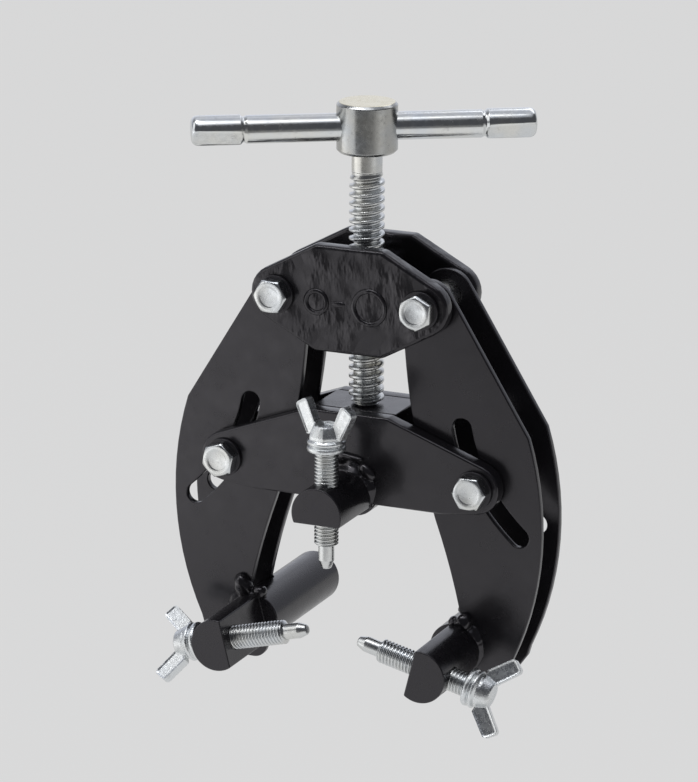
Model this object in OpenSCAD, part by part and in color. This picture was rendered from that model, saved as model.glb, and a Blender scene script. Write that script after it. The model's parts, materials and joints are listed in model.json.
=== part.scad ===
// Pipe alignment clamp: two hinged arms and a sliding crosshead close three bars on a pipe.
// Frame: origin at the centre of the pipe seat at rest, pipe along Y, front towards -Y, +Z up.

/* [Pipe seat] */
// Diameter of the circle that touches the three bars at rest
seat_d = 74; // [72:0.5:76]
// Angle of the two lower bars below the pipe centre
lower_bar_angle = 17.8; // [16:0.2:20]

/* [Clamp bars] */
// Diameter of the round bars
bar_d = 22; // [20:0.5:23]
// Length of each bar
bar_len = 100; // [90:1:110]
// Distance from a bar's axis to the flat on its front end
flat_offset = 4.5; // [3.5:0.5:6]
// Length of that flat along the bar
flat_len = 37; // [32:1:38]

/* [Yoke] */
// Height of the arm pivots above the top bar
pivot_rise = 81.5; // [80:0.5:84]
// Half the distance between the two arm pivots
pivot_x = 32; // [31:0.5:33]
// Radius of the yoke's round ends
yoke_end_r = 11.6; // [11:0.2:12.6]
// Half the yoke's height
yoke_half_h = 22.3; // [20:0.1:24]
// Half the width of the yoke's flat top and bottom edges
yoke_flat_x = 17; // [14:0.5:19]
// Overall depth across the outer faces of the front and rear plates
frame_depth = 38; // [36:1:42]
// Thickness of the yoke and crosshead plates
frame_plate_t = 7; // [5:0.5:7]

/* [Crosshead] */
// Drop of the guide bolts below the arm pivots
guide_drop = 72.5; // [71:0.5:74]
// Half the distance between the two guide bolts
guide_x = 56; // [55:0.5:57]
// Radius of the crosshead's round ends
crosshead_end_r = 10.5; // [10:0.25:11]
// Height of the crosshead's top edge above the guide bolts
crosshead_rise = 25.4; // [23:0.2:26]
// Half the width of the crosshead's flat top edge
crosshead_flat_x = 19.5; // [18:0.5:21]
// Depth of the crosshead's bottom edge below the guide bolts
crosshead_fall = 12.2; // [11:0.1:13]
// Thickness of the bridge that carries the screw
bridge_t = 8; // [6:0.5:9]

/* [Arms] */
// Thickness of each arm plate
arm_plate_t = 3; // [2.5:0.25:4]
// Width over the outer faces of an arm's two plates
arm_width = 23; // [20:0.5:23]
// Radius of an arm's top end
arm_top_r = 11; // [10.5:0.25:11.5]
// Turn of an arm for each millimetre of crosshead travel, in radians
close_rate = 0.0068; // [0.0066:0.0001:0.007]
// Crosshead travel from rest to the top end of the guide slots
slot_up = 26.5; // [24:0.5:28]
// Crosshead travel from rest to the bottom end of the guide slots
slot_down = 26; // [24:0.5:28]
// Width of the guide slots
slot_w = 8.4; // [8.3:0.1:8.8]

/* [Lead screw] */
// Outer diameter of the screw thread
screw_d = 14.6; // [14:0.2:15]
// Diameter of the plain shank under the boss
shank_d = 12.6; // [12:0.2:13]
// Diameter of the journal that turns in the bridge
journal_d = 10; // [9:0.5:10]
// Height of the boss's underside above the arm pivots
boss_rise = 58.4; // [56:0.2:62]
// Diameter of the boss
boss_d = 25; // [24:0.2:27]
// Height of the boss
boss_h = 20.8; // [19:0.2:22]
// Length of plain shank below the boss
shank_len = 8; // [6:0.5:18]

/* [T-bar] */
// Length of the T-bar
t_bar_len = 140.6; // [130:0.2:160]
// Diameter of the T-bar between its end grooves
t_bar_d = 11.6; // [11:0.2:12]
// Diameter of the T-bar's upset ends
t_bar_end_d = 12.3; // [12.2:0.1:13]
// Length of each upset end
t_bar_end_len = 22.5; // [18:0.5:25]
// Turn of the T-bar about the screw at rest
t_bar_turn = 31.5; // [0:0.5:90]
// Slide of the T-bar through the boss at rest
t_bar_shift = -1.2; // [-6:0.2:6]

/* [Adjusting screws] */
// Diameter of the adjusting screws
stud_d = 10; // [9.5:0.1:10]
// Length of an adjusting screw from its wing hub to its tip
stud_len = 50; // [48:1:52]
// Diameter of the dog point
dog_d = 6.2; // [5.8:0.1:7]
// Length of the dog point with its conical tip
dog_len = 10; // [8:0.5:12]
// Tilt of the lower adjusting screws from level at rest
lower_stud_tilt = 14; // [12:1:18]
// Distance from a bar's front end to its adjusting screw
stud_inset = 10.5; // [9.5:0.5:12]
// Gap between the wing hub and the bar on the top screw
top_gap = 13.5; // [13:0.5:16]
// Gap between the wing hub and the bar on the left screw
left_gap = 0.6; // [0.4:0.1:1]
// Gap between the wing hub and the bar on the right screw
right_gap = 6.8; // [6.6:0.1:8]

/* [Wings] */
// Diameter of the wing hub's flange
wing_flange_d = 16; // [14:0.5:18]
// Height of the wing hub
wing_hub_h = 11; // [10:0.5:12]
// Thickness of a wing
wing_t = 4; // [3:0.25:4.5]
// Width of a wing's tip
wing_w = 7.8; // [7:0.1:9]
// Length of a wing
wing_len = 11.3; // [10:0.1:12]
// Splay of the top wings from the screw's axis
top_wing_splay = 31; // [25:1:55]
// Splay of the lower screws' wings from the screw's axis
side_wing_splay = 50; // [25:1:55]
// Turn of the top wings at rest
top_wing_turn = 10; // [-90:1:90]
// Turn of the left wings at rest
left_wing_turn = -50; // [-90:1:90]
// Turn of the right wings at rest
right_wing_turn = 31; // [-90:1:90]

/* [Fasteners] */
// Shank diameter of the pivot and guide bolts
bolt_d = 8; // [7.6:0.1:8]
// Width across flats of the bolt heads and nuts
hex_af = 13; // [12:0.5:14]
// Height of the bolt heads
head_h = 5.3; // [4.5:0.1:6]
// Outer diameter of the washers
washer_d = 16; // [15:0.5:18]
// Thickness of the washers
washer_t = 1.6; // [1:0.1:2]

/* [Hidden] */
$fn = 64;
BLACK = [0.07, 0.07, 0.075];
ZINC = [0.74, 0.76, 0.77];

// Clearances: a turning or sliding fit, a bolt in its hole, and a screw's end play.
run_gap = 0.05;
hole_gap = 0.1;
end_play = 0.3;

// Places in the X-Z plane.
bar_ring_r = (seat_d + bar_d) / 2;
top_bar_z = bar_ring_r;
lower_bar_x = bar_ring_r * cos(lower_bar_angle);
lower_bar_z = -bar_ring_r * sin(lower_bar_angle);
pivot_z = top_bar_z + pivot_rise;
guide_z = pivot_z - guide_drop;
bridge_top_z = guide_z + crosshead_rise;
bridge_bottom_z = bridge_top_z - bridge_t;
boss_z = pivot_z + boss_rise;
t_bar_z = boss_z + boss_h / 2;

// Places along Y.
frame_outer = frame_depth / 2;
frame_inner = frame_outer - frame_plate_t;
arm_outer = arm_width / 2;
arm_inner = arm_outer - arm_plate_t;
bar_front_y = -bar_len / 2;
stud_y = bar_front_y + stud_inset;

// Arm outline, with X from the clamp's middle and Z from the pivot.
arm_outer_top = [76.4, -50.6];
arm_outer_end = [70.7, -146.1];
arm_toe = [65, -148];
arm_heel = [59, -156.5];
toe_corner_r = 5;
arm_tip = [46.5, -155.5];
arm_tip_r = 6;
arm_inner_low = [48.4, -134];
arm_inner_mid = [36, -90];

// Points on an arc about c, from angle a0 to a1.
function arc(c, r, a0, a1, steps = 10) =
    [for (i = [0:steps]) let (a = a0 + (a1 - a0) * i / steps) c + r * [cos(a), sin(a)]];

// Points on a shallow arc from p to q; a positive rise bows to the right of the way from p to q.
function bow(p, q, rise, steps = 14) =
    let (half = norm(q - p) / 2, r = (half * half + rise * rise) / (2 * abs(rise)),
         way = (q - p) / norm(q - p), side = sign(rise) * [way[1], -way[0]],
         c = (p + q) / 2 - side * (r - abs(rise)), swing = asin(half / r))
    [for (i = [0:steps]) let (a = swing * (2 * i / steps - 1))
        c + r * (side * cos(a) + way * sin(a))];

// Angle of the outward normal of the line that touches round corners p and q, each [x, z, radius].
function edge_angle(p, q) =
    let (d = [q[0] - p[0], q[1] - p[1]])
    atan2(d[1], d[0]) - acos((p[2] - q[2]) / norm(d));

function turn_from(a, b) = let (t = b - a) t - 360 * floor(t / 360);

// Convex outline round a counter-clockwise list of round corners.
function round_outline(corners) =
    let (n = len(corners))
    [for (i = [0:n - 1])
        let (p = corners[i], a = edge_angle(corners[(i + n - 1) % n], p),
             b = edge_angle(p, corners[(i + 1) % n]))
        each arc([p[0], p[1]], p[2], a, a + turn_from(a, b))];

// Place of the guide bolt against the right arm's pivot, in the arm's own frame,
// after crosshead travel d; the guide slot follows it, so the arm turns at a constant rate.
function bolt_in_arm(d) =
    let (a = close_rate * d * 180 / PI, x = guide_x - pivot_x, z = -guide_drop - d)
    [x * cos(a) - z * sin(a), x * sin(a) + z * cos(a)];

function slot_side(d, side) =
    let (step = bolt_in_arm(d + 0.5) - bolt_in_arm(d - 0.5))
    bolt_in_arm(d) + side * slot_w / 2 * [step[1], -step[0]] / norm(step);

slot_steps = 20;
slot_travel = [for (i = [0:slot_steps]) -slot_up + (slot_up + slot_down) * i / slot_steps];
slot_points = concat(
    [for (d = slot_travel) slot_side(d, 1)],
    [for (i = [slot_steps:-1:0]) slot_side(slot_travel[i], -1)]);

// Round corners of the yoke and crosshead plates, each [x, z, radius], counter-clockwise.
yoke_corner_r = 4;
yoke_corner_x = yoke_flat_x - 3;
yoke_corner_z = yoke_half_h - yoke_corner_r;
yoke_corners = [
    [pivot_x, 0, yoke_end_r],
    [yoke_corner_x, yoke_corner_z, yoke_corner_r], [-yoke_corner_x, yoke_corner_z, yoke_corner_r],
    [-pivot_x, 0, yoke_end_r],
    [-yoke_corner_x, -yoke_corner_z, yoke_corner_r], [yoke_corner_x, -yoke_corner_z, yoke_corner_r]
];

crosshead_corner_r = 3;
crosshead_top_x = crosshead_flat_x - 2.5;
crosshead_top_z = crosshead_rise - crosshead_corner_r;
crosshead_low_x = 0.75 * guide_x;
crosshead_low_z = crosshead_corner_r - crosshead_fall;
crosshead_corners = [
    [guide_x, 0, crosshead_end_r],
    [crosshead_top_x, crosshead_top_z, crosshead_corner_r],
    [-crosshead_top_x, crosshead_top_z, crosshead_corner_r],
    [-guide_x, 0, crosshead_end_r],
    [-crosshead_low_x, crosshead_low_z, crosshead_corner_r],
    [crosshead_low_x, crosshead_low_z, crosshead_corner_r]
];

arm_points = concat(
    arc([pivot_x, 0], arm_top_r, 180, 32, 14),
    bow(arm_outer_top, arm_outer_end, -8.9),
    arc(arm_toe, toe_corner_r, -24, -41, 3),
    arc(arm_heel, toe_corner_r, -41, -90, 4),
    arc(arm_tip, arm_tip_r, -90, -200, 10),
    [arm_tip + [0, 9.5]],
    bow(arm_inner_low, arm_inner_mid, 0.9, 6),
    bow(arm_inner_mid, [pivot_x - arm_top_r, 0], -3.4, 14));

// A plate between y0 and y1 with its outline in X and Z.
module plate(points, y0, y1) {
    translate([0, y1, 0]) rotate([90, 0, 0]) linear_extrude(y1 - y0) polygon(points);
}

// A round bar or hole along Y.
module y_round(d, y0, y1) {
    translate([0, y1, 0]) rotate([90, 0, 0]) cylinder(d = d, h = y1 - y0);
}

module at_xz(x, z) {
    translate([x, 0, z]) children();
}

// Both of a left and right pair.
module pair(x, z) {
    for (side = [-1, 1]) at_xz(side * x, z) children();
}

module ring_y(outer_d, inner_d, y0, y1) {
    difference() {
        y_round(outer_d, y0, y1);
        y_round(inner_d, y0 - 1, y1 + 1);
    }
}

// A hexagon along Y with its front corners chamfered, and its rear ones too if both is true.
module hex_y(y0, y1, turn, both = false) {
    h = y1 - y0;
    flat_r = hex_af / 2;
    corner_r = flat_r / cos(30);
    reach = corner_r + 0.5;
    drop = (reach - flat_r) * tan(30);
    rear = both ? [[0, 0], [flat_r, 0], [reach, drop]] : [[0, 0], [reach, 0]];
    translate([0, y1, 0]) rotate([90, 0, 0]) rotate(turn) intersection() {
        cylinder(r = corner_r, h = h, $fn = 6);
        rotate_extrude() polygon(concat(rear, [[reach, h - drop], [flat_r, h], [0, h]]));
    }
}

// Holes through both plates for a pair of bolts.
module bolt_hole_pair(x) {
    pair(x, 0) y_round(bolt_d + 2 * hole_gap, -frame_depth, frame_depth);
}

// --- yoke ---

module yoke_plate(y0, y1) {
    at_xz(0, pivot_z) difference() {
        plate(round_outline(yoke_corners), y0, y1);
        bolt_hole_pair(pivot_x);
    }
}

module yoke_front_plate() {
    color(BLACK) yoke_plate(-frame_outer, -frame_inner);
}

module yoke_rear_plate() {
    color(BLACK) yoke_plate(frame_inner, frame_outer);
}

// The tapped block between the plates that the screw runs through.
module feed_nut() {
    nut_x = 12;
    nut_h = 32;
    color(BLACK) difference() {
        translate([-nut_x, -frame_inner, pivot_z - nut_h / 2]) cube([2 * nut_x, 2 * frame_inner, nut_h]);
        translate([0, 0, pivot_z - nut_h]) cylinder(d = screw_d + 2 * run_gap, h = 2 * nut_h);
    }
}

pivot_sleeve_d = 12;

// The tubes that the arms turn on, clamped between the yoke plates.
module pivot_sleeves() {
    color(ZINC) pair(pivot_x, pivot_z)
        ring_y(pivot_sleeve_d, bolt_d + 2 * hole_gap, -frame_inner, frame_inner);
}

nut_len = 8;
bolt_tail = 2;
head_y = -frame_outer - washer_t;
nut_y = frame_outer + washer_t;

module hex_bolt(turn) {
    hex_y(head_y - head_h, head_y, turn);
    y_round(bolt_d, head_y - 1, nut_y + nut_len + bolt_tail);
}

module washer_pair() {
    ring_y(washer_d, bolt_d + 2 * hole_gap, head_y, -frame_outer);
    ring_y(washer_d, bolt_d + 2 * hole_gap, frame_outer, nut_y);
}

// A lock nut: a hexagon with a round collar over its insert.
module lock_nut() {
    nut_hex_h = 6.2;
    nut_collar_d = 11.4;
    difference() {
        union() {
            hex_y(nut_y, nut_y + nut_hex_h, 0, true);
            y_round(nut_collar_d, nut_y + nut_hex_h - 1, nut_y + nut_len);
        }
        y_round(bolt_d, nut_y - 1, nut_y + nut_len + 1);
    }
}

module pivot_bolts() {
    color(ZINC) {
        at_xz(-pivot_x, pivot_z) hex_bolt(0);
        at_xz(pivot_x, pivot_z) hex_bolt(30);
    }
}

module pivot_washers() {
    color(BLACK) pair(pivot_x, pivot_z) washer_pair();
}

module pivot_nuts() {
    color(ZINC) pair(pivot_x, pivot_z) lock_nut();
}

// --- crosshead ---

module crosshead_plate(y0, y1) {
    difference() {
        at_xz(0, guide_z) plate(round_outline(crosshead_corners), y0, y1);
        at_xz(0, guide_z) bolt_hole_pair(guide_x);
        at_xz(0, top_bar_z) y_round(bar_d, y0 - 1, y1 + 1);
    }
}

module crosshead_front_plate() {
    color(BLACK) crosshead_plate(-frame_outer, -frame_inner);
}

module crosshead_rear_plate() {
    color(BLACK) crosshead_plate(frame_inner, frame_outer);
}

// The block welded between the plates that the screw's journal turns in.
module crosshead_bridge() {
    color(BLACK) difference() {
        translate([1 - crosshead_flat_x, -frame_inner, bridge_bottom_z])
            cube([2 * crosshead_flat_x - 2, 2 * frame_inner, bridge_t]);
        translate([0, 0, bridge_bottom_z - 1])
            cylinder(d = journal_d + 2 * run_gap, h = bridge_t + 2);
    }
}

// A bar along Y through the origin with a flat that faces +X on its front end,
// and a tapped hole square to that flat.
module clamp_bar() {
    difference() {
        y_round(bar_d, bar_front_y, -bar_front_y);
        translate([flat_offset, bar_front_y - 1, -bar_d])
            cube([bar_d, flat_len + 1, 2 * bar_d]);
        translate([-bar_d, stud_y, 0]) rotate([0, 90, 0])
            cylinder(d = stud_d + 2 * run_gap, h = 2 * bar_d);
    }
}

module top_bar() {
    color(BLACK) at_xz(0, top_bar_z) rotate([0, 90, 0]) clamp_bar();
}

module guide_bolts() {
    color(ZINC) {
        at_xz(-guide_x, guide_z) hex_bolt(18);
        at_xz(guide_x, guide_z) hex_bolt(0);
    }
}

module guide_washers() {
    color(BLACK) pair(guide_x, guide_z) washer_pair();
}

module guide_nuts() {
    color(ZINC) pair(guide_x, guide_z) lock_nut();
}

// --- lead screw ---

collar_d = 18;
collar_h = 8;
collar_pin_d = 3;
spigot_d = 11;
spigot_h = 3.5;
collar_top_z = bridge_bottom_z - end_play;
collar_pin_z = collar_top_z - collar_h / 2;

module collar_pin_shape() {
    translate([-collar_d / 2, 0, collar_pin_z]) rotate([0, 90, 0])
        cylinder(d = collar_pin_d, h = collar_d);
}

// Plain shank, threaded length, and the journal that turns in the bridge.
module lead_screw() {
    journal_end_z = collar_top_z - collar_h - 1;
    thread_low_z = bridge_top_z + end_play;
    thread_high_z = boss_z - shank_len;
    color(ZINC) difference() {
        rotate_extrude() polygon([
            [0, journal_end_z], [journal_d / 2 - 1, journal_end_z], [journal_d / 2, journal_end_z + 1],
            [journal_d / 2, thread_low_z], [screw_d / 2 - 1.5, thread_low_z],
            [screw_d / 2, thread_low_z + 1.5], [screw_d / 2, thread_high_z - 2],
            [shank_d / 2, thread_high_z], [shank_d / 2, boss_z], [spigot_d / 2, boss_z],
            [spigot_d / 2, boss_z + spigot_h], [0, boss_z + spigot_h]]);
        collar_pin_shape();
    }
}

module t_bar_axis() {
    translate([0, 0, t_bar_z]) rotate(t_bar_turn) rotate([0, 90, 0]) children();
}

module handle_boss() {
    bevel = 1.2;
    r = boss_d / 2;
    color(ZINC) difference() {
        translate([0, 0, boss_z]) rotate_extrude() polygon([
            [0, 0], [r - bevel, 0], [r, bevel], [r, boss_h - bevel], [r - bevel, boss_h], [0, boss_h]]);
        translate([0, 0, boss_z - 1]) cylinder(d = spigot_d, h = spigot_h + 1);
        t_bar_axis() cylinder(d = t_bar_d + 2 * run_gap, h = 2 * boss_d, center = true);
    }
}

module retaining_collar() {
    color(ZINC) difference() {
        translate([0, 0, collar_top_z - collar_h]) cylinder(d = collar_d, h = collar_h);
        translate([0, 0, collar_top_z - collar_h - 1]) cylinder(d = journal_d, h = collar_h + 2);
        collar_pin_shape();
    }
}

module collar_pin() {
    color(ZINC) collar_pin_shape();
}

// Round bar with a groove inside each upset end, so that it can't leave the boss.
module t_bar() {
    groove_w = 2;
    groove_d = 10.8;
    bevel = 1.5;
    half = t_bar_len / 2;
    shoulder = half - t_bar_end_len;
    r = t_bar_d / 2;
    end_r = t_bar_end_d / 2;
    color(ZINC) t_bar_axis() translate([0, 0, t_bar_shift]) rotate_extrude() polygon([
        [0, -half], [end_r - bevel, -half], [end_r, bevel - half], [end_r, -shoulder - groove_w],
        [groove_d / 2, -shoulder - groove_w / 2], [r, -shoulder],
        [r, shoulder], [groove_d / 2, shoulder + groove_w / 2],
        [end_r, shoulder + groove_w], [end_r, half - bevel], [end_r - bevel, half], [0, half]]);
}

// --- arms ---

// The right arm's plate; the left arm is its mirror image.
module arm_plate(y0, y1) {
    difference() {
        at_xz(0, pivot_z) plate(arm_points, y0, y1);
        at_xz(pivot_x, pivot_z) y_round(pivot_sleeve_d + 2 * run_gap, y0 - 1, y1 + 1);
        at_xz(pivot_x, pivot_z) plate(slot_points, y0 - 1, y1 + 1);
        for (d = [-slot_up, slot_down])
            at_xz(pivot_x + bolt_in_arm(d)[0], pivot_z + bolt_in_arm(d)[1])
                y_round(slot_w, y0 - 1, y1 + 1);
        at_xz(lower_bar_x, lower_bar_z) y_round(bar_d, y0 - 1, y1 + 1);
    }
}

module right_arm_front_plate() {
    color(BLACK) arm_plate(-arm_outer, -arm_inner);
}

module right_arm_rear_plate() {
    color(BLACK) arm_plate(arm_inner, arm_outer);
}

module left_arm_front_plate() {
    color(BLACK) mirror([1, 0, 0]) arm_plate(-arm_outer, -arm_inner);
}

module left_arm_rear_plate() {
    color(BLACK) mirror([1, 0, 0]) arm_plate(arm_inner, arm_outer);
}

module left_bar() {
    color(BLACK) at_xz(-lower_bar_x, lower_bar_z) rotate([0, -lower_stud_tilt, 0]) clamp_bar();
}

module right_bar() {
    color(BLACK) at_xz(lower_bar_x, lower_bar_z) rotate([0, 180 + lower_stud_tilt, 0]) clamp_bar();
}

// --- adjusting screws ---

// Puts what is drawn along +Z, tip up, onto an adjusting screw: its zero lies on the bar's axis.
module on_top_stud() {
    translate([0, stud_y, top_bar_z]) rotate([0, 180, 0]) children();
}

module on_left_stud() {
    translate([-lower_bar_x, stud_y, lower_bar_z]) rotate([0, 90 - lower_stud_tilt, 0]) children();
}

module on_right_stud() {
    translate([lower_bar_x, stud_y, lower_bar_z]) rotate([0, lower_stud_tilt - 90, 0]) children();
}

// Threaded length, dog point and blunt cone, with the head end inside the wing hub.
module stud(gap) {
    hub_face = -bar_d / 2 - gap;
    tip = hub_face + stud_len;
    in_hub = wing_hub_h - 2;
    cone_len = 4;
    nose_r = 1.8;
    nose_bevel = 0.6;
    r = stud_d / 2;
    dog_r = dog_d / 2;
    rotate_extrude() polygon([
        [0, hub_face - in_hub], [r, hub_face - in_hub],
        [r, tip - dog_len - 1], [dog_r, tip - dog_len], [dog_r, tip - cone_len],
        [nose_r, tip - nose_bevel], [nose_r - nose_bevel, tip], [0, tip]]);
}

// Side view of one wing: a tab that widens from the hub to its tip, splayed out from the screw's axis.
function wing_points(splay) =
    let (root = [6.9, 9.6], out = [sin(splay), cos(splay)], side = [cos(splay), -sin(splay)],
         tip = root + wing_len * out, half_w = wing_w / 2, end_r = 1.2)
    concat([[2, 7], root + [2.6, -4]],
        arc(tip + (half_w - end_r) * side - end_r * out, end_r, -splay, 90 - splay, 4),
        arc(tip - (half_w - end_r) * side - end_r * out, end_r, 90 - splay, 180 - splay, 4),
        [root + [-1.6, 2.2], [2, wing_hub_h - 1]]);

// A hub with a flange and two wings, turned about the screw.
module wing_nut(gap, turn, splay) {
    hub_face = -bar_d / 2 - gap;
    flange_r = wing_flange_d / 2;
    translate([0, 0, hub_face]) rotate([180, 0, turn]) difference() {
        union() {
            rotate_extrude() polygon([
                [0, 0], [flange_r - 0.8, 0], [flange_r, 0.8], [flange_r, 2], [flange_r - 0.9, 2.6],
                [flange_r, 3.4], [flange_r, 4.4], [flange_r - 2.1, wing_hub_h], [0, wing_hub_h]]);
            for (side = [0, 180]) rotate(side) translate([0, wing_t / 2, 0])
                rotate([90, 0, 0]) linear_extrude(wing_t) polygon(wing_points(splay));
        }
        translate([0, 0, -1]) cylinder(d = stud_d + 2 * run_gap, h = wing_hub_h + 2);
    }
}

module top_stud() {
    color(ZINC) on_top_stud() stud(top_gap);
}

module top_wing_nut() {
    color(ZINC) on_top_stud() wing_nut(top_gap, top_wing_turn, top_wing_splay);
}

module left_stud() {
    color(ZINC) on_left_stud() stud(left_gap);
}

module left_wing_nut() {
    color(ZINC) on_left_stud() wing_nut(left_gap, left_wing_turn, side_wing_splay);
}

module right_stud() {
    color(ZINC) on_right_stud() stud(right_gap);
}

module right_wing_nut() {
    color(ZINC) on_right_stud() wing_nut(right_gap, right_wing_turn, side_wing_splay);
}

yoke_front_plate();
yoke_rear_plate();
feed_nut();
pivot_sleeves();
pivot_bolts();
pivot_washers();
pivot_nuts();
crosshead_front_plate();
crosshead_rear_plate();
crosshead_bridge();
top_bar();
guide_bolts();
guide_washers();
guide_nuts();
lead_screw();
handle_boss();
retaining_collar();
collar_pin();
t_bar();
left_arm_front_plate();
left_arm_rear_plate();
left_bar();
right_arm_front_plate();
right_arm_rear_plate();
right_bar();
top_stud();
top_wing_nut();
left_stud();
left_wing_nut();
right_stud();
right_wing_nut();
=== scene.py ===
import json
import math

import bmesh
import bpy
from mathutils import Matrix, Vector, noise

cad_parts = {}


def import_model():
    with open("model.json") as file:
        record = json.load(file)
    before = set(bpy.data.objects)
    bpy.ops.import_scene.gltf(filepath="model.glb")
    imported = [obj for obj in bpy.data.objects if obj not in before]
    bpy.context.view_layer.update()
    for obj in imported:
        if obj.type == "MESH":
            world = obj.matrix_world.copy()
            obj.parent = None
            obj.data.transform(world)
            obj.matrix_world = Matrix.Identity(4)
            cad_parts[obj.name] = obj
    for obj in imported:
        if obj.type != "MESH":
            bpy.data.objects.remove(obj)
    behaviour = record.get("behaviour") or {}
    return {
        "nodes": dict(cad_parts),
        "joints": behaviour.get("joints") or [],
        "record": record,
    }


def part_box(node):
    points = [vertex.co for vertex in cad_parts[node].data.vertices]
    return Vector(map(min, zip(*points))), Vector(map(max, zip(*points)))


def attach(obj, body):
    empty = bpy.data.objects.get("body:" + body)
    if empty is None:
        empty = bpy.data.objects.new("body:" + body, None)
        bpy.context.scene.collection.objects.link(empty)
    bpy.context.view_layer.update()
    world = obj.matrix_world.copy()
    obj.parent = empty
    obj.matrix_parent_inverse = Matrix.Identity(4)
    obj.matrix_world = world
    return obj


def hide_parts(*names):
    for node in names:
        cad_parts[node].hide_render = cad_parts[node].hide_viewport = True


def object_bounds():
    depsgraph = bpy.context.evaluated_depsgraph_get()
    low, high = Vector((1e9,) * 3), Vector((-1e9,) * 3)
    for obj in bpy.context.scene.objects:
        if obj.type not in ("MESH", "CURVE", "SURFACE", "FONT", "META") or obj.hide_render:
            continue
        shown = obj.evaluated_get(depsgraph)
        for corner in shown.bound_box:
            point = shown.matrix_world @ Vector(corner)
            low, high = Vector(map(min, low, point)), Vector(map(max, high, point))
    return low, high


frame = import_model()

cad_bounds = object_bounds()

MM = 0.001
RECORD = frame["record"]
JOINTS = {joint["name"]: joint for joint in frame["joints"]}
BODY_OF = {n: body for body, members in RECORD["behaviour"]["bodies"].items() for n in members}


# ---------------------------------------------------------------- places, all read from the frame

def centre(node):
    low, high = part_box(node)
    return (low + high) / 2


def size(node):
    low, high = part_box(node)
    return high - low


def looking_along(origin, axis, side):
    """A place whose local Z runs along axis and whose local X is as near to side as it can be."""
    z = Vector(axis).normalized()
    x = Vector(side)
    x = (x - z * x.dot(z)).normalized()
    place = Matrix((x, z.cross(x), z)).transposed().to_4x4()
    place.translation = Vector(origin)
    return place


def span_along(node, origin, axis):
    """How far a node reaches along an axis through origin, as (lowest, highest)."""
    axis = Vector(axis).normalized()
    reach = [(v.co - Vector(origin)).dot(axis) for v in frame["nodes"][node].data.vertices]
    return min(reach), max(reach)


# ---------------------------------------------------------------- making pieces

def new_piece(name, shape, material, body, place=None):
    """Makes a smooth-shaded piece from a bmesh, puts it on a body and gives it a finish slot."""
    if place is not None:
        shape.transform(place)
    bmesh.ops.recalc_face_normals(shape, faces=shape.faces)
    mesh = bpy.data.meshes.new(name)
    shape.to_mesh(mesh)
    shape.free()
    mesh.shade_smooth()
    mesh.materials.append(material)
    piece = bpy.data.objects.new(name, mesh)
    bpy.context.scene.collection.objects.link(piece)
    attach(piece, body)
    return piece


def stand_for(node, name, shape, material, place=None):
    """Makes a piece that takes a CAD node's place, body and finish."""
    piece = new_piece(name, shape, material, BODY_OF[node], place)
    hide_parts(node)
    return piece


def round_edges(piece, width):
    """Rounds the edges that turn by more than 28 degrees, and keeps the faces beside them flat."""
    bevel = piece.modifiers.new("edges", "BEVEL")
    bevel.width = width
    bevel.segments = 3
    bevel.limit_method = "ANGLE"
    bevel.angle_limit = math.radians(28)
    bevel.use_clamp_overlap = False
    even = piece.modifiers.new("even", "WEIGHTED_NORMAL")
    even.weight = 100


def cad_shape(node):
    """The CAD node's own shape, with its triangles joined back into faces."""
    shape = bmesh.new()
    shape.from_mesh(frame["nodes"][node].data)
    bmesh.ops.remove_doubles(shape, verts=shape.verts, dist=1e-6)
    bmesh.ops.dissolve_limit(shape, angle_limit=math.radians(0.5), verts=shape.verts, edges=shape.edges)
    return shape


def machined(node, material, edge):
    """A CAD node with its edges rounded off."""
    round_edges(stand_for(node, node + "_finished", cad_shape(node), material), edge)


def skin(shape, rings):
    """Joins each ring of points to the next one with faces. A ring may be a single point."""
    for low, high in zip(rings, rings[1:]):
        count = max(len(low), len(high))
        for k in range(count):
            n = (k + 1) % count
            corners = (low[k % len(low)], low[n % len(low)], high[n % len(high)], high[k % len(high)])
            shape.faces.new(list(dict.fromkeys(corners)))


def absorb(shape, extra):
    """Adds another bmesh's faces to a shape."""
    spare = bpy.data.meshes.new("spare")
    extra.to_mesh(spare)
    extra.free()
    shape.from_mesh(spare)
    bpy.data.meshes.remove(spare)


def outline_loops(node):
    """A flat plate's outline and holes as loops of (x, z), each with the metal on its left."""
    shape = cad_shape(node)
    follow = {}
    for face in shape.faces:
        for loop in face.loops:
            if face.normal.y < -0.99 and loop.link_loop_radial_next.face.normal.y > -0.99:
                follow[loop.vert] = loop.link_loop_next.vert
    loops = []
    while follow:
        vert = next(iter(follow))
        loops.append([])
        while vert in follow:
            loops[-1].append(Vector((vert.co.x, vert.co.z)))
            vert = follow.pop(vert)
    shape.free()
    return loops


def inset(loop, amount):
    """Moves a loop into the metal by an amount, keeping its corners."""
    out = []
    for i, here in enumerate(loop):
        before = (here - loop[i - 1]).normalized()
        after = (loop[(i + 1) % len(loop)] - here).normalized()
        ways = Vector((-before.y, before.x)), Vector((-after.y, after.x))
        out.append(here + (ways[0] + ways[1]) * (amount / (1 + ways[0].dot(ways[1]))))
    return out


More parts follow.
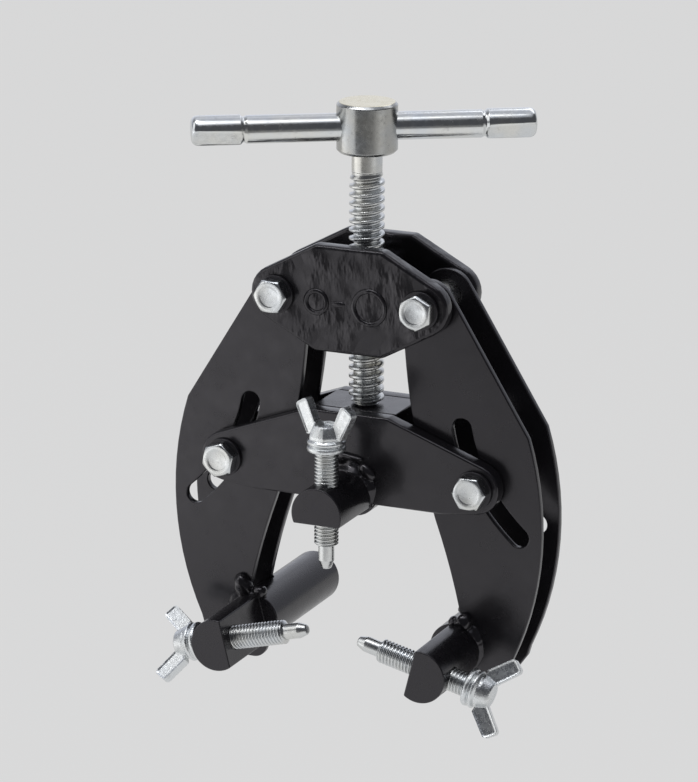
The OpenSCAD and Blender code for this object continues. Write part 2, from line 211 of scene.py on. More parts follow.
def plate(node, material, edge):
    """A flat CAD plate built again from its outline, with all its edges rounded."""
    low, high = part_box(node)
    steps = 5
    turns = [math.pi / 2 * k / steps for k in range(steps + 1)]
    front = [(edge * (1 - math.sin(a)), low.y + edge * (1 - math.cos(a))) for a in turns]
    levels = front + [(amount, low.y + high.y - y) for amount, y in reversed(front)]
    shape = bmesh.new()
    faces = [[], []]
    for loop in outline_loops(node):
        rings = [[shape.verts.new((p.x, y, p.y)) for p in inset(loop, amount)] for amount, y in levels]
        skin(shape, rings)
        for rim, ring in zip(faces, (rings[0], rings[-1])):
            rim += [shape.edges.get((ring[k - 1], ring[k])) for k in range(len(ring))]
    for rim in faces:
        bmesh.ops.triangle_fill(shape, use_beauty=True, edges=rim)
    piece = stand_for(node, node + "_finished", shape, material)
    for face in piece.data.polygons:
        face.use_smooth = abs(face.normal.y) < 0.9999


def rounded(points, steps=5):
    """Rounds an outline's corners: each point is (x, y) or (x, y, corner radius)."""
    out = []
    for i, point in enumerate(points):
        radius = point[2] if len(point) > 2 else 0
        corner = Vector(point[:2])
        if not radius or i in (0, len(points) - 1):
            out.append(corner)
            continue
        before = (Vector(points[i - 1][:2]) - corner).normalized()
        after = (Vector(points[i + 1][:2]) - corner).normalized()
        half = before.angle(after) / 2
        cut = radius / math.tan(half)
        start, end = corner + before * cut, corner + after * cut
        for k in range(steps + 1):
            t = k / steps
            out.append(start * (1 - t) ** 2 + corner * 2 * t * (1 - t) + end * t ** 2)
    return out


def lathe(profile, segments=96, shape=None, radius_scale=None):
    """A solid turned about local Z, from (radius, height) points that run from its low end up."""
    shape = shape or bmesh.new()
    rings = []
    for radius, height in profile:
        if radius < 1e-6:
            rings.append([shape.verts.new((0, 0, height))])
            continue
        ring = []
        for k in range(segments):
            angle = 2 * math.pi * k / segments
            r = radius * radius_scale(angle, height) if radius_scale else radius
            ring.append(shape.verts.new((r * math.cos(angle), r * math.sin(angle), height)))
        rings.append(ring)
    skin(shape, rings)
    return shape


def threaded(low, high, pitch, radius_at, rows=10, columns=72, shape=None):
    """A right-hand thread about local Z from low to high. Its rows of points follow the helix.
    radius_at(phase, height) gives the radius, where phase runs from 0 to 1 over one pitch."""
    shape = shape or bmesh.new()
    total = int(math.ceil((high - low) / pitch) + 2) * rows
    grid = []
    for k in range(columns):
        turn = k / columns
        column = []
        for j in range(total + 1):
            height = min(max(low + (j / rows - 1 + turn) * pitch, low), high)
            radius = radius_at(((height - low) / pitch - turn) % 1.0, height)
            angle = 2 * math.pi * turn
            column.append(shape.verts.new((radius * math.cos(angle), radius * math.sin(angle), height)))
        grid.append(column)
    for k in range(columns):
        last = k == columns - 1
        here, beside = grid[k], grid[(k + 1) % columns]
        step = rows if last else 0
        for j in range(total - step):
            shape.faces.new((here[j], beside[j + step], beside[j + 1 + step], here[j + 1]))
    made = [v for column in grid for v in column]
    bmesh.ops.remove_doubles(shape, verts=made, dist=1e-7)
    bmesh.ops.dissolve_degenerate(shape, edges=shape.edges, dist=1e-7)
    loose = [v for v in shape.verts if not v.link_faces]
    bmesh.ops.delete(shape, geom=loose, context="VERTS")
    rims = [e for e in shape.edges if e.is_boundary]
    bmesh.ops.holes_fill(shape, edges=rims, sides=0)
    return shape


def smoothstep(t):
    t = min(max(t, 0.0), 1.0)
    return t * t * (3 - 2 * t)


def remeshed(name, shape, voxel, smoothing, material, body, place=None):
    """Fuses overlapping solids into one soft-edged skin, as a casting or a weld has."""
    piece = new_piece(name, shape, material, body, place)
    fuse = piece.modifiers.new("fuse", "REMESH")
    fuse.mode = "VOXEL"
    fuse.voxel_size = voxel
    fuse.use_smooth_shade = True
    soften = piece.modifiers.new("soften", "SMOOTH")
    soften.factor = 0.5
    soften.iterations = smoothing
    return piece


# ---------------------------------------------------------------- materials

class Nodes:
    """Short names for building a material's node tree."""

    def __init__(self, name):
        self.material = bpy.data.materials.new(name)
        self.material.use_nodes = True
        self.tree = self.material.node_tree
        self.shader = self.tree.nodes["Principled BSDF"]
        self.place = self.add("ShaderNodeTexCoord").outputs["Object"]

    def add(self, kind, **inputs):
        node = self.tree.nodes.new(kind)
        for key, value in inputs.items():
            self.put(node.inputs[key.replace("_", " ")], value)
        return node

    def put(self, socket, value):
        if isinstance(value, bpy.types.NodeSocket):
            self.tree.links.new(value, socket)
        else:
            socket.default_value = value

    def stretched(self, scale, rotation=(0, 0, 0)):
        node = self.add("ShaderNodeMapping", Vector=self.place, Scale=scale, Rotation=rotation)
        return node.outputs["Vector"]

    def noise(self, scale, detail=2.0, roughness=0.5, vector=None):
        node = self.add("ShaderNodeTexNoise", Scale=scale, Detail=detail, Roughness=roughness,
                        Vector=vector or self.place)
        return node.outputs["Fac"]

    def specks(self, scale, share):
        """Small round specks: 1 in the middle of a speck, falling to 0 at its edge and beyond."""
        node = self.add("ShaderNodeTexVoronoi", Scale=scale, Vector=self.place)
        return self.between(node.outputs["Distance"], share, share * 0.5, 0.0, 1.0)

    def between(self, value, from_low, from_high, to_low, to_high):
        node = self.add("ShaderNodeMapRange", Value=value)
        for socket, number in zip(node.inputs[1:5], (from_low, from_high, to_low, to_high)):
            socket.default_value = number
        node.clamp = True
        return node.outputs["Result"]

    def mix(self, share, a, b):
        node = self.tree.nodes.new("ShaderNodeMix")
        node.data_type = "RGBA"
        self.put(node.inputs["Factor"], share)
        self.put(node.inputs[6], (*a, 1.0) if isinstance(a, tuple) else a)
        self.put(node.inputs[7], (*b, 1.0) if isinstance(b, tuple) else b)
        return node.outputs[2]

    def math(self, operation, a, b):
        node = self.tree.nodes.new("ShaderNodeMath")
        node.operation = operation
        self.put(node.inputs[0], a)
        self.put(node.inputs[1], b)
        return node.outputs[0]

    def bump(self, height, depth, under=None):
        node = self.add("ShaderNodeBump", Height=height, Distance=depth, Strength=1.0)
        if under is not None:
            self.put(node.inputs["Normal"], under)
        return node.outputs["Normal"]


def paint(name, roughness, orange_peel, dents, dent_size=9.0, patchy=False):
    """Satin black paint: orange peel, broad unevenness, and a few specks of dust under the coat.
    Patchy paint has streaky ripples that come and go."""
    m = Nodes(name)
    tone = m.mix(m.noise(60, 3), (0.0080, 0.0074, 0.0088), (0.0130, 0.0122, 0.0140))
    dust = m.specks(360, 0.03)
    m.put(m.shader.inputs["Base Color"], m.mix(dust, tone, (0.05, 0.05, 0.05)))
    sheen = m.between(m.noise(140, 4, 0.6), 0.3, 0.7, roughness - 0.05, roughness + 0.06)
    m.put(m.shader.inputs["Roughness"], sheen)
    m.shader.inputs["IOR"].default_value = 1.5
    m.shader.inputs["Specular IOR Level"].default_value = 0.48 if patchy else 0.58
    m.shader.inputs["Specular Tint"].default_value = (0.97, 0.94, 1.0, 1)
    waves = m.noise(1000 / dent_size, 1)
    if patchy:
        streaks = m.noise(1.0, 2, 0.5, m.stretched((260, 260, 110), (0, 0.5, 0)))
        waves = m.math("MULTIPLY", streaks, m.between(m.noise(55, 1), 0.42, 0.62, 0.0, 1.0))
    broad = m.bump(waves, dents * MM)
    peel = m.bump(m.noise(1500, 2), orange_peel * MM, under=broad)
    m.put(m.shader.inputs["Normal"], m.bump(dust, 0.006 * MM, under=peel))
    return m.material


def zinc(name, roughness, marks, mark_scale, rotation=(0, 0, 0), grain=0.0, tint=0.5, shade=1.0,
         painted_highlight_above=None):
    """Bright zinc plate with fine tool marks along one way, cloudy tint and faint stains.
    Above a given height it has a painted highlight: the colour is painted lighter and cream there."""
    m = Nodes(name)
    cloud = m.between(m.noise(85, 3), 0.35, 0.65, 0.0, tint)
    # shade darkens the whole colour: painted shade, so some parts are darker copies of the same zinc.
    cool = (0.70 * shade, 0.725 * shade, 0.745 * shade)
    tone = m.mix(cloud, cool, (0.80 * shade, 0.775 * shade, 0.70 * shade))
    # Painted highlight: the top is painted lighter and cream instead of being lit brighter.
    if painted_highlight_above is not None:
        height = m.add("ShaderNodeSeparateXYZ", Vector=m.place).outputs["Z"]
        top = m.between(height, painted_highlight_above - 0.15 * MM, painted_highlight_above, 0.0, 1.0)
        tone = m.mix(top, tone, (0.69, 0.63, 0.46))
    stain = m.between(m.noise(240, 4, 0.65), 0.60, 0.78, 0.0, 0.5)
    m.put(m.shader.inputs["Base Color"], m.mix(stain, tone, (0.36 * shade, 0.36 * shade, 0.36 * shade)))
    m.shader.inputs["Metallic"].default_value = 1.0
    dull = m.between(m.noise(500, 3), 0.3, 0.7, roughness - 0.06, roughness + 0.08)
    m.put(m.shader.inputs["Roughness"], m.math("ADD", dull, m.math("MULTIPLY", stain, 0.25)))
    lines = m.noise(1.0, 2, 0.6, m.stretched(mark_scale, rotation))
    surface = m.bump(lines, marks * MM)
    if grain:
        surface = m.bump(m.noise(1900, 3, 0.6), grain * MM, under=surface)
    m.put(m.shader.inputs["Normal"], surface)
    return m.material


BLACK_CAST = paint("black_paint_on_casting", 0.20, 0.004, 1.0, patchy=True)
BLACK_PLATE = paint("black_paint_on_plate", 0.23, 0.004, 0.04, 14.0)
BLACK_BAR = paint("black_paint_on_bar", 0.25, 0.004, 0.02, 14.0)
BLACK_WELD = paint("black_paint_on_weld", 0.14, 0.003, 0.10, 2.5)
BLACK_WASHER = paint("black_washer", 0.36, 0.004, 0.01)

t_bar_axis = Vector(JOINTS["t_bar_slide"]["axis"])
t_bar_turn = math.atan2(t_bar_axis.y, t_bar_axis.x)
# The shade numbers paint some zinc parts darker than others: painted shade on copies of one zinc.
ZINC_TURNED = zinc("zinc_turned", 0.26, 0.006, (60, 60, 4500))
# Painted highlight on the boss's top face; its low shade number is painted shade.
ZINC_BOSS = zinc("zinc_brushed_boss", 0.22, 0.014, (2400, 2400, 70), tint=0.6, shade=0.54,
                 painted_highlight_above=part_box("handle_boss")[1].z - 0.05 * MM)
ZINC_BAR = zinc("zinc_drawn_bar", 0.18, 0.006, (40, 900, 900), (0, 0, -t_bar_turn), shade=0.92)
ZINC_THREAD = zinc("zinc_thread", 0.27, 0.004, (300, 300, 1500), tint=0.7, shade=0.78)
ZINC_STUD = zinc("zinc_stud", 0.23, 0.003, (600, 600, 600), tint=0.4, shade=0.84)
ZINC_CAST = zinc("zinc_casting", 0.27, 0.16, (420, 420, 420), grain=0.12, tint=0.2, shade=0.97)
ZINC_HEX = zinc("zinc_hexagon", 0.22, 0.02, (700, 700, 700), grain=0.004, tint=0.4, shade=0.86)


# ---------------------------------------------------------------- plates, bars and hardware

for node in ("yoke_front_plate", "yoke_rear_plate"):
    plate(node, BLACK_CAST, 1.7 * MM)
machined("feed_nut", BLACK_CAST, 0.6 * MM)
for node in ("crosshead_front_plate", "crosshead_rear_plate"):
    plate(node, BLACK_PLATE, 1.0 * MM)
machined("crosshead_bridge", BLACK_PLATE, 0.5 * MM)
for arm in ("left_arm", "right_arm"):
    plate(arm + "_front_plate", BLACK_PLATE, 0.5 * MM)
    plate(arm + "_rear_plate", BLACK_PLATE, 0.5 * MM)
for node in ("top_bar", "left_bar", "right_bar"):
    machined(node, BLACK_BAR, 0.5 * MM)
for node in ("pivot_washers", "guide_washers"):
    machined(node, BLACK_WASHER, 0.3 * MM)
for node in ("pivot_nuts", "guide_nuts"):
    machined(node, ZINC_HEX, 0.22 * MM)
for node in ("pivot_sleeves", "retaining_collar", "collar_pin"):
    machined(node, ZINC_TURNED, 0.3 * MM)
machined("handle_boss", ZINC_BOSS, 0.22 * MM)


def hexagon(angle):
    """How far a hexagon with unit flats and a corner at angle 0 reaches at an angle."""
    step = math.pi / 3
    return 1 / math.cos(angle % step - step / 2)


def bolt(node, washers, side, name):
    """A bolt with a chamfered head that has a shallow round recess, and a threaded tail."""
    washer_r, pitch, thread_len = 8.0 * MM, 1.25 * MM, 22 * MM
    low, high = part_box(washers)
    origin = Vector((side * (high.x - washer_r), low.y, centre(washers).z))
    head_face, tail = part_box(node)[0].y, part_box(node)[1].y
    head = [v.co - origin for v in frame["nodes"][node].data.vertices
            if v.co.x * side > 0 and v.co.y < origin.y - 1 * MM]
    corner = max(head, key=lambda v: Vector((v.x, v.z)).length)
    place = looking_along(origin, (0, -1, 0), corner)
    height = origin.y - head_face
    flat, rim, recess = 6.5 * MM, 6.15 * MM, 4.2 * MM
    chamfer_slope = 0.577
    shape = bmesh.new()
    rings = [[shape.verts.new((0, 0, height - 0.16 * MM))]]
    columns = 96
    steps = [
        ("round", recess - 0.4 * MM, -0.16), ("round", recess - 0.1 * MM, -0.12),
        ("round", recess, -0.05), ("round", recess + 0.15 * MM, 0),
        ("round", rim - 0.25 * MM, 0), ("round", rim, -0.04),
        ("corner", 0.985, 0), ("corner", 1.0, -0.25), ("side", 1.0, 0.25), ("side", 0.985, 0)]
    for kind, value, drop in steps:
        ring = []
        for k in range(columns):
            a = 2 * math.pi * k / columns
            reach = flat * hexagon(a) * (value if kind != "round" else 1)
            if kind == "round":
                r, z = value, height + drop * MM
            elif kind == "corner":
                r, z = reach, height - max(reach - rim, 0) * chamfer_slope + drop * MM
            else:
                r, z = reach, drop * MM
            ring.append(shape.verts.new((r * math.cos(a), r * math.sin(a), z)))
        rings.append(ring)
    rings.append([shape.verts.new((0, 0, 0))])
    skin(shape, rings)
    crest, root, tip_r = 3.98 * MM, 3.25 * MM, 3.0 * MM
    end = origin.y - tail
    thread_top = end + thread_len

    def radius_at(phase, height):
        swell = min(max((1 - abs(2 * phase - 1) - 0.14) / 0.66, 0.0), 1.0)
        return min(root + (crest - root) * swell, tip_r + height - end)

    threaded(end, thread_top, pitch, radius_at, rows=8, columns=48, shape=shape)
    lathe([(0, thread_top - 0.5 * MM), (crest, thread_top - 0.5 * MM), (crest, 0.5 * MM), (0, 0.5 * MM)],
          48, shape)
    return new_piece(name, shape, ZINC_HEX, BODY_OF[node], place)


for kind in ("pivot", "guide"):
    for side, word in ((-1, "left"), (1, "right")):
        made = bolt(kind + "_bolts", kind + "_washers", side, "%s_%s_bolt" % (word, kind))
        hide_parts(kind + "_bolts")


# ---------------------------------------------------------------- relief on the yoke

def relief_ring(shape, x, z, radius, stroke, y):
    """A ring half sunk in the face at y."""
    around, across = 72, 10
    proud = 0.38 * stroke
    rings = []
    for i in range(around):
        a = 2 * math.pi * i / around
        ring = []
        for k in range(across):
            b = 2 * math.pi * k / across
            r = radius + stroke / 2 * math.cos(b)
            out = y - proud * math.sin(b)
            ring.append(shape.verts.new((x + r * math.cos(a), out, z + r * math.sin(a))))
        rings.append(ring)
    skin(shape, rings + rings[:1])


def yoke_relief():
    """A small ring, a dash and a larger ring, raised on the front plate: small pipes to large."""
    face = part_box("yoke_front_plate")[0].y
    middle = centre("yoke_front_plate").z - 1.5 * MM
    stroke = 2.2 * MM
    shape = bmesh.new()
    relief_ring(shape, -14 * MM, middle, 4.6 * MM, stroke, face)
    relief_ring(shape, 9.5 * MM, middle, 6.9 * MM, stroke, face)
    dash = bmesh.ops.create_icosphere(shape, subdivisions=4, radius=1.0)["verts"]
    stretch = Matrix.Diagonal((3.0 * MM, 0.75 * MM, 1.2 * MM, 1.0))
    bmesh.ops.transform(shape, matrix=Matrix.Translation((-4 * MM, face, middle)) @ stretch, verts=dash)
    new_piece("yoke_relief", shape, BLACK_CAST, "yoke")


yoke_relief()


# ---------------------------------------------------------------- lead screw and T-bar

def lead_screw():
    """The thread, run out into a plain shank above it, and the journal that turns in the bridge."""
    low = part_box("lead_screw")[0]
    boss_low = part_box("handle_boss")[0].z
    bridge_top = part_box("crosshead_bridge")[1].z
    crest = size("lead_screw").x / 2
    root = crest - 1.9 * MM
    shank = crest - 1.0 * MM
    journal = 5.0 * MM
    pitch = 3.63 * MM
    thread_low = bridge_top + 0.3 * MM
    thread_high = boss_low - 8 * MM
    hidden = 0.5 * MM  # how far one stretch of the screw reaches into the next

    def radius_at(phase, height):
        swell = smoothstep((1 - abs(2 * phase - 1) - 0.22) / 0.55)
        radius = root + (crest - root) * swell
        lead_in = smoothstep((height - thread_low) / (1.5 * MM))
        run_out = smoothstep((thread_high - height) / (4.5 * MM))
        radius = root - 0.4 * MM + (radius - root + 0.4 * MM) * lead_in
        return shank + (radius - shank) * run_out

    shape = threaded(thread_low, thread_high, pitch, radius_at, rows=14, columns=80)
    lathe([(0, thread_high - hidden), (shank - 0.4 * MM, thread_high - hidden),
           (shank, thread_high + 0.1 * MM), (shank, thread_high + 0.4 * MM),
           (shank, boss_low + 0.2 * MM), (shank, boss_low + hidden), (0, boss_low + hidden)], 80, shape)
    lathe(rounded([(0, low.z), (journal, low.z, 0.8 * MM), (journal, thread_low + 1 * MM),
                   (0, thread_low + 1 * MM)]), 80, shape)
    stand_for("lead_screw", "lead_screw_thread", shape, ZINC_THREAD)


def t_bar():
    """A bar with a groove inside each end, each end pressed flat on two sides."""
    origin = Vector((0, 0, centre("t_bar").z))
    low, high = span_along("t_bar", origin, t_bar_axis)
    middle, half = (low + high) / 2, (high - low) / 2
    end_len = 22.5 * MM
    shoulder = half - end_len
    radius, end_radius, groove = 5.8 * MM, 6.15 * MM, 5.2 * MM
    side = [
        (0, half), (end_radius, half, 3.2 * MM), (end_radius, half - 6 * MM),
        (end_radius, shoulder + 2.6 * MM, 0.5 * MM), (groove, shoulder + 1.5 * MM, 0.6 * MM),
        (groove, shoulder + 1.1 * MM, 0.6 * MM), (radius, shoulder, 0.5 * MM), (radius, shoulder - 8 * MM)]
    upper = rounded(side, 6)
    profile = [(r, -z) for r, z in upper] + [(r, z) for r, z in reversed(upper)]
    place = looking_along(origin + t_bar_axis * middle, t_bar_axis, (0, 0, 1))
    shape = lathe(profile, 128)
    towards_front = t_bar_axis.cross(Vector((0, 0, 1)))
    droop = math.radians(34)
    flat_way = towards_front * math.cos(droop) - Vector((0, 0, 1)) * math.sin(droop)
    flat_way = (place.to_3x3().inverted() @ flat_way).normalized()
    for v in shape.verts:
        if abs(v.co.z) < shoulder + 2.2 * MM:
            continue
        depth = 0.9 * MM + 0.9 * MM * (abs(v.co.z) - shoulder) / end_len
        for way in (flat_way, -flat_way):
            over = v.co.dot(way) - (end_radius - depth)
            if over > 0:
                v.co -= way * over
    stand_for("t_bar", "t_bar_turned", shape, ZINC_BAR, place)


lead_screw()
t_bar()


# ---------------------------------------------------------------- adjusting screws

def adjusting_screw(name):
    """A threaded rod with a dog point."""
    joint = JOINTS[name + "_wings_turn"]
    origin, out = Vector(joint["pos_m"]), Vector(joint["axis"])
    tip, head = span_along(name + "_stud", origin, out)
    place = looking_along(origin, out, (0, 1, 0))
    crest, root, dog = 5.0 * MM, 4.2 * MM, 3.25 * MM
    pitch = 1.5 * MM
    dog_end = tip + 10 * MM

    def radius_at(phase, height):
        swell = smoothstep((1 - abs(2 * phase - 1) - 0.06) / 0.62)
        radius = root + (crest - root) * swell
        chamfer = dog + 0.5 * MM + (height - dog_end) * 1.6
        return min(radius, chamfer)

    shape = threaded(dog_end, head, pitch, radius_at, rows=10, columns=64)
    lathe(rounded([(0, tip), (2.0 * MM, tip, 0.9 * MM), (dog, tip + 3.6 * MM, 1.4 * MM),
                   (dog, tip + 5 * MM), (dog, dog_end + 0.8 * MM), (dog, dog_end + 1.0 * MM),
                   (0, dog_end + 1.0 * MM)], 6), 64, shape)
    stand_for(name + "_stud", name + "_stud_thread", shape, ZINC_STUD, place)


def wing_outline(splay):
    """Side view of one wing in millimetres: a tab with round tip corners, splayed out from the axis."""
    root, length, half_w, end_r = Vector((6.6, 9.3)), 11.6, 3.35, 1.7
    a = math.radians(splay)
    out = Vector((math.sin(a), math.cos(a)))
    side = Vector((math.cos(a), -math.sin(a)))
    tip = root + out * length
    corners = [Vector((2.4, 6.6)), root + Vector((2.4, -3.6))]
    corners += [tip + side * (half_w - end_r) - out * end_r
                + (side * math.cos(t) + out * math.sin(t)) * end_r
                for t in (math.radians(18 * k) for k in range(6))]
    corners += [tip - side * (half_w - end_r) - out * end_r
                + (-side * math.sin(t) + out * math.cos(t)) * end_r
                for t in (math.radians(18 * k) for k in range(6))]
    corners += [root + Vector((-1.5, 2.4)), Vector((2.4, 9.6))]
    return corners


def wing_nut(name):
    """A cast hub with two flange rings and six soft flats, and two wings with sunk faces.
    The shape is drawn in millimetres, with the top nut more faceted and dished than the others."""
    joint = JOINTS[name + "_wings_turn"]
    node = name + "_wing_nut"
    origin, out = Vector(joint["pos_m"]), Vector(joint["axis"])
    low = span_along(node, origin, out)[0]
    far = max(frame["nodes"][node].data.vertices, key=lambda v: ((v.co - origin).cross(out)).length).co
    place = looking_along(origin + out * low, out, far - origin)
    splay = 31 if name == "top" else 50
    facets = 0.5 if name == "top" else 0.15
    dish = 9.9 if name == "top" else 10.75
    hub = rounded([(0, 0), (7.6, 0, 0.5), (8.0, 1.0, 0.5), (7.9, 2.0, 0.5), (6.7, 2.7, 0.4),
                   (7.9, 3.3, 0.5), (8.0, 4.3, 0.6), (7.0, 5.2)])
    crown = rounded([(6.7, 4.8), (6.75, 6.6, 1.2), (5.5, 10.3, 0.7), (5.0, 11.0, 0.3),
                     (4.3, 10.9, 0.3), (4.1, dish), (0, dish)], 6)
    shape = lathe([(0, 0)] + hub[1:] + [(0, 5.2)], 96)
    cone = bmesh.new()
    lathe([(0, 4.8)] + crown, 96, cone, radius_scale=lambda angle, height: hexagon(angle) ** facets)
    absorb(shape, cone)
    half_thickness = 2.0
    for turn in (0, math.pi):
        tab = bmesh.new()
        ring = [tab.verts.new((p.x, -half_thickness, p.y)) for p in wing_outline(splay)]
        face = tab.faces.new(ring)
        grown = bmesh.ops.extrude_face_region(tab, geom=[face])["geom"]
        moved = [item for item in grown if isinstance(item, bmesh.types.BMVert)]
        bmesh.ops.translate(tab, vec=(0, 2 * half_thickness, 0), verts=moved)
        bmesh.ops.recalc_face_normals(tab, faces=tab.faces)
        broad = [f for f in tab.faces if abs(f.normal.y) > 0.9]
        bmesh.ops.inset_individual(tab, faces=broad, thickness=0.95, depth=-0.5)
        tab.transform(Matrix.Rotation(turn, 4, "Z"))
        absorb(shape, tab)
    shape.transform(Matrix.Scale(MM, 4))
    piece = remeshed(name + "_wing_casting", shape, 0.17 * MM, 4, ZINC_CAST, BODY_OF[node],
                     place)
    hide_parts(node)


for name in ("top", "left", "right"):
    adjusting_screw(name)
    wing_nut(name)


# ---------------------------------------------------------------- welds

def weld(name, body, bar, face_y, out_y, start, end, width, seed, tacks=(), thinning=0.0):
    """An uneven fillet between a bar and a plate's face, from one angle to another, with tack lumps.
    Each tack is (angle, how far out from the bar, then its size along, across and out of the plate)."""
    noise.seed_set(seed)  # without a seed, noise_vector follows the clock
    middle = centre(bar)
    bar_r = size(bar).x / 2
    shape = bmesh.new()
    steps, lump_scale = 110, 4 * MM
    section = [(-0.3, -0.25), (1.0, -0.25), (1.0, 0.04), (0.72, 0.26), (0.45, 0.46), (0.24, 0.72),
               (0.06, 1.0), (-0.3, 1.0)]
    rings = []
    for i in range(steps + 1):
        t = i / steps
        a = math.radians(start + (end - start) * t)
        drift = Vector((math.cos(a) * 2.0, math.sin(a) * 2.0, seed))
        swell = 1 + 0.4 * noise.noise(drift) + 0.14 * noise.noise(drift * 3)
        w = width * (1 - thinning * t) * swell * (1 - abs(2 * t - 1) ** 3) ** 0.6 + 0.1 * MM
        ring = []
        for along, deep in section:
            reach = bar_r + w * along
            depth = face_y + out_y * w * deep
            spot = (middle.x + reach * math.cos(a), depth, middle.z + reach * math.sin(a))
            ring.append(shape.verts.new(spot))
        rings.append(ring)
    skin(shape, rings)
    shape.faces.new(rings[0])
    shape.faces.new(rings[-1])
    for angle, out, along, across, deep in tacks:
        a = math.radians(angle)
        lump = bmesh.ops.create_icosphere(shape, subdivisions=4, radius=1.0)["verts"]
        spot = Vector((middle.x + (bar_r + out * MM) * math.cos(a), face_y + out_y * 0.8 * MM,
                       middle.z + (bar_r + out * MM) * math.sin(a)))
        scale = Matrix.Diagonal((across * MM, deep * MM, along * MM, 1))
        turn = Matrix.Rotation(-a, 4, "Y")
        bmesh.ops.transform(shape, matrix=Matrix.Translation(spot) @ turn @ scale, verts=lump)
        for v in lump:
            v.co += noise.noise_vector(v.co / lump_scale + Vector((seed, 0, 0))) * 0.5 * MM
    remeshed(name, shape, 0.35 * MM, 6, BLACK_WELD, body)


crosshead_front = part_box("crosshead_front_plate")[0].y
crosshead_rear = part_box("crosshead_rear_plate")[1].y
arm_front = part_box("left_arm_front_plate")[0].y
arm_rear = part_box("left_arm_rear_plate")[1].y
top_tacks = [(84, 5.5, 5.5, 1.3, 1.5), (103, 4.0, 3.6, 1.5, 1.6), (50, 3.5, 4.5, 2.2, 2.2)]
left_tacks = [(110, 3.6, 3.8, 5.6, 3.8), (78, 1.6, 3.2, 2.6, 2.8)]
right_tacks = [(72, 1.8, 3.6, 4.2, 4.2), (92, 1.0, 2.6, 2.4, 2.4)]
weld("top_front_weld", "crosshead", "top_bar", crosshead_front, -1, 120, -32, 5.0 * MM, 3, top_tacks, 0.85)
weld("top_rear_weld", "crosshead", "top_bar", crosshead_rear, 1, 205, -25, 4.2 * MM, 5)
weld("left_front_weld", "left_arm", "left_bar", arm_front, -1, 60, 205, 2.8 * MM, 8, left_tacks)
weld("left_rear_weld", "left_arm", "left_bar", arm_rear, 1, 100, 240, 3.4 * MM, 13)
weld("right_front_weld", "right_arm", "right_bar", arm_front, -1, 100, -50, 3.2 * MM, 21, right_tacks, 0.75)
weld("right_rear_weld", "right_arm", "right_bar", arm_rear, 1, 140, -40, 3.4 * MM, 34)


# ---------------------------------------------------------------- floor, light and camera

def floor():
    """A pale floor that glows evenly behind the object, and fades out far in front of it."""
    below = 0.35
    shape = bmesh.new()
    bmesh.ops.create_grid(shape, x_segments=1, y_segments=1, size=30)
    mesh = bpy.data.meshes.new("floor")
    shape.to_mesh(mesh)
    shape.free()
    ground = bpy.data.objects.new("floor", mesh)
    ground.location.z = cad_bounds[0].z - below
    bpy.context.scene.collection.objects.link(ground)
    m = Nodes("pale_floor")
    m.shader.inputs["Base Color"].default_value = (0.05, 0.05, 0.05, 1)
    m.shader.inputs["Roughness"].default_value = 1.0
    m.shader.inputs["Specular IOR Level"].default_value = 0.0
    m.shader.inputs["Emission Color"].default_value = (1, 1, 1, 1)
    y = m.add("ShaderNodeSeparateXYZ", Vector=m.place).outputs["Y"]
    near = m.between(y, -0.3, 0.3, 0.25, 0.0)
    glow = m.math("MULTIPLY", m.between(y, -1.75, -1.2, 0.15, 0.665), m.math("ADD", near, 1.0))
    m.put(m.shader.inputs["Emission Strength"], glow)
    mesh.materials.append(m.material)


def softbox(name, place, target, width, height, power, tone=(1, 1, 1)):
    light = bpy.data.lights.new(name, "AREA")
    light.shape = "RECTANGLE"
    light.size = width
    light.size_y = height
    light.energy = power
    light.color = tone
    lamp = bpy.data.objects.new(name, light)
    lamp.location = place
    lamp.rotation_euler = (Vector(target) - Vector(place)).to_track_quat("-Z", "Y").to_euler()
    bpy.context.scene.collection.objects.link(lamp)


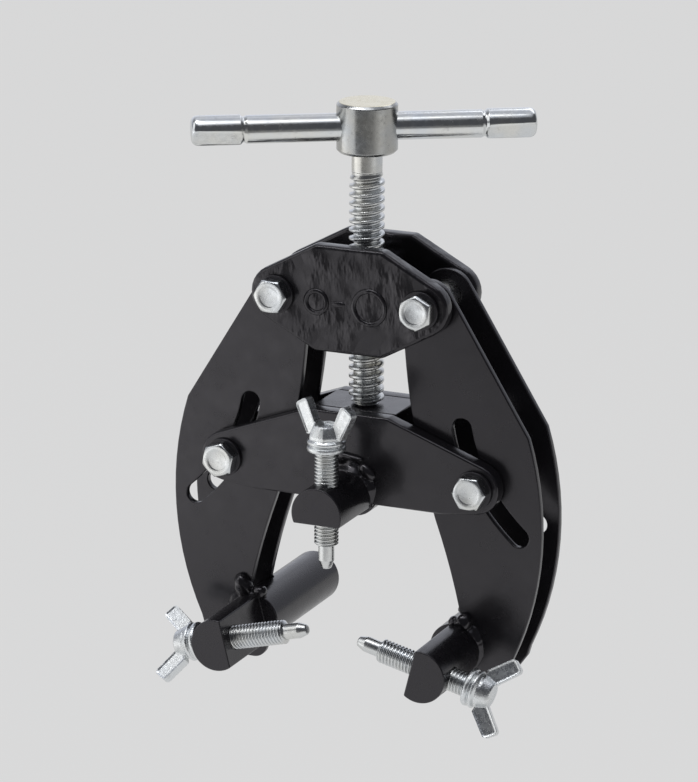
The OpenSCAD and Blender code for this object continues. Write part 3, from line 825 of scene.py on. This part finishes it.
def world():
    """A studio room: pale overhead and behind the object to its left, dim in front and on the right."""
    sky = bpy.data.worlds.new("studio")
    bpy.context.scene.world = sky
    sky.use_nodes = True
    tree = sky.node_tree
    way = tree.nodes.new("ShaderNodeTexCoord").outputs["Generated"]
    split = tree.nodes.new("ShaderNodeSeparateXYZ")
    tree.links.new(way, split.inputs[0])
    behind = tree.nodes.new("ShaderNodeVectorMath")
    behind.operation = "DOT_PRODUCT"
    tree.links.new(way, behind.inputs[0])
    behind.inputs[1].default_value = (-0.45, 0.9, 0.0)
    front = tree.nodes.new("ShaderNodeMapRange")
    tree.links.new(behind.outputs["Value"], front.inputs["Value"])
    for socket, number in zip(front.inputs[1:5], (0.3, 0.95, 0.09, 1.05)):
        socket.default_value = number
    rise = tree.nodes.new("ShaderNodeMapRange")
    tree.links.new(split.outputs["Z"], rise.inputs["Value"])
    for socket, number in zip(rise.inputs[1:5], (0.72, 0.88, 0.0, 0.55)):
        socket.default_value = number
    total = tree.nodes.new("ShaderNodeMath")
    total.operation = "ADD"
    tree.links.new(front.outputs[0], total.inputs[0])
    tree.links.new(rise.outputs[0], total.inputs[1])
    tree.links.new(total.outputs[0], tree.nodes["Background"].inputs["Strength"])
    tree.nodes["Background"].inputs["Color"].default_value = (0.88, 0.91, 1.0, 1)


def camera():
    """The photograph's angle and framing: from the front, a little to the right and above."""
    lens = bpy.data.cameras.new("camera")
    lens.sensor_width = 36
    lens.lens = 185.7
    lens.clip_start, lens.clip_end = 0.05, 100
    eye = bpy.data.objects.new("camera", lens)
    azimuth, elevation, roll = math.radians(24.18), math.radians(16.18), math.radians(0.11)
    back = Vector((math.sin(azimuth) * math.cos(elevation), -math.cos(azimuth) * math.cos(elevation),
                   math.sin(elevation)))
    turn = (-back).to_track_quat("-Z", "Y").to_matrix() @ Matrix.Rotation(roll, 3, "Z")
    distance, shift_right, shift_up = 1.6476, -7.22 * MM, -40.8 * MM
    aim = Vector((0, 0, 129.5 * MM))
    offset = turn.col[0] * shift_right + turn.col[1] * shift_up
    eye.matrix_world = Matrix.Translation(aim + offset + back * distance) @ turn.to_4x4()
    bpy.context.scene.collection.objects.link(eye)
    bpy.context.scene.camera = eye


floor()
world()
softbox("overhead", (-0.1, -0.35, 1.6), (0, 0, 0.1), 1.3, 0.7, 3.6)
softbox("strip", (-0.35, -0.32, 1.1), (-0.35, 0, 0), 0.7, 0.1, 1.6)
softbox("left", (-0.948, -0.728, -0.02), (0, 0, 0), 1.4, 0.7, 2.7)
softbox("high_left", (-0.75, -0.45, 0.6), (0, 0, 0.08), 0.6, 0.6, 1.4)
softbox("back", (0.3, 1.0, 1.3), (0, 0, 0.1), 1.2, 0.6, 3.5, (0.93, 0.95, 1.0))
camera()
bpy.context.scene.view_settings.view_transform = "Standard"
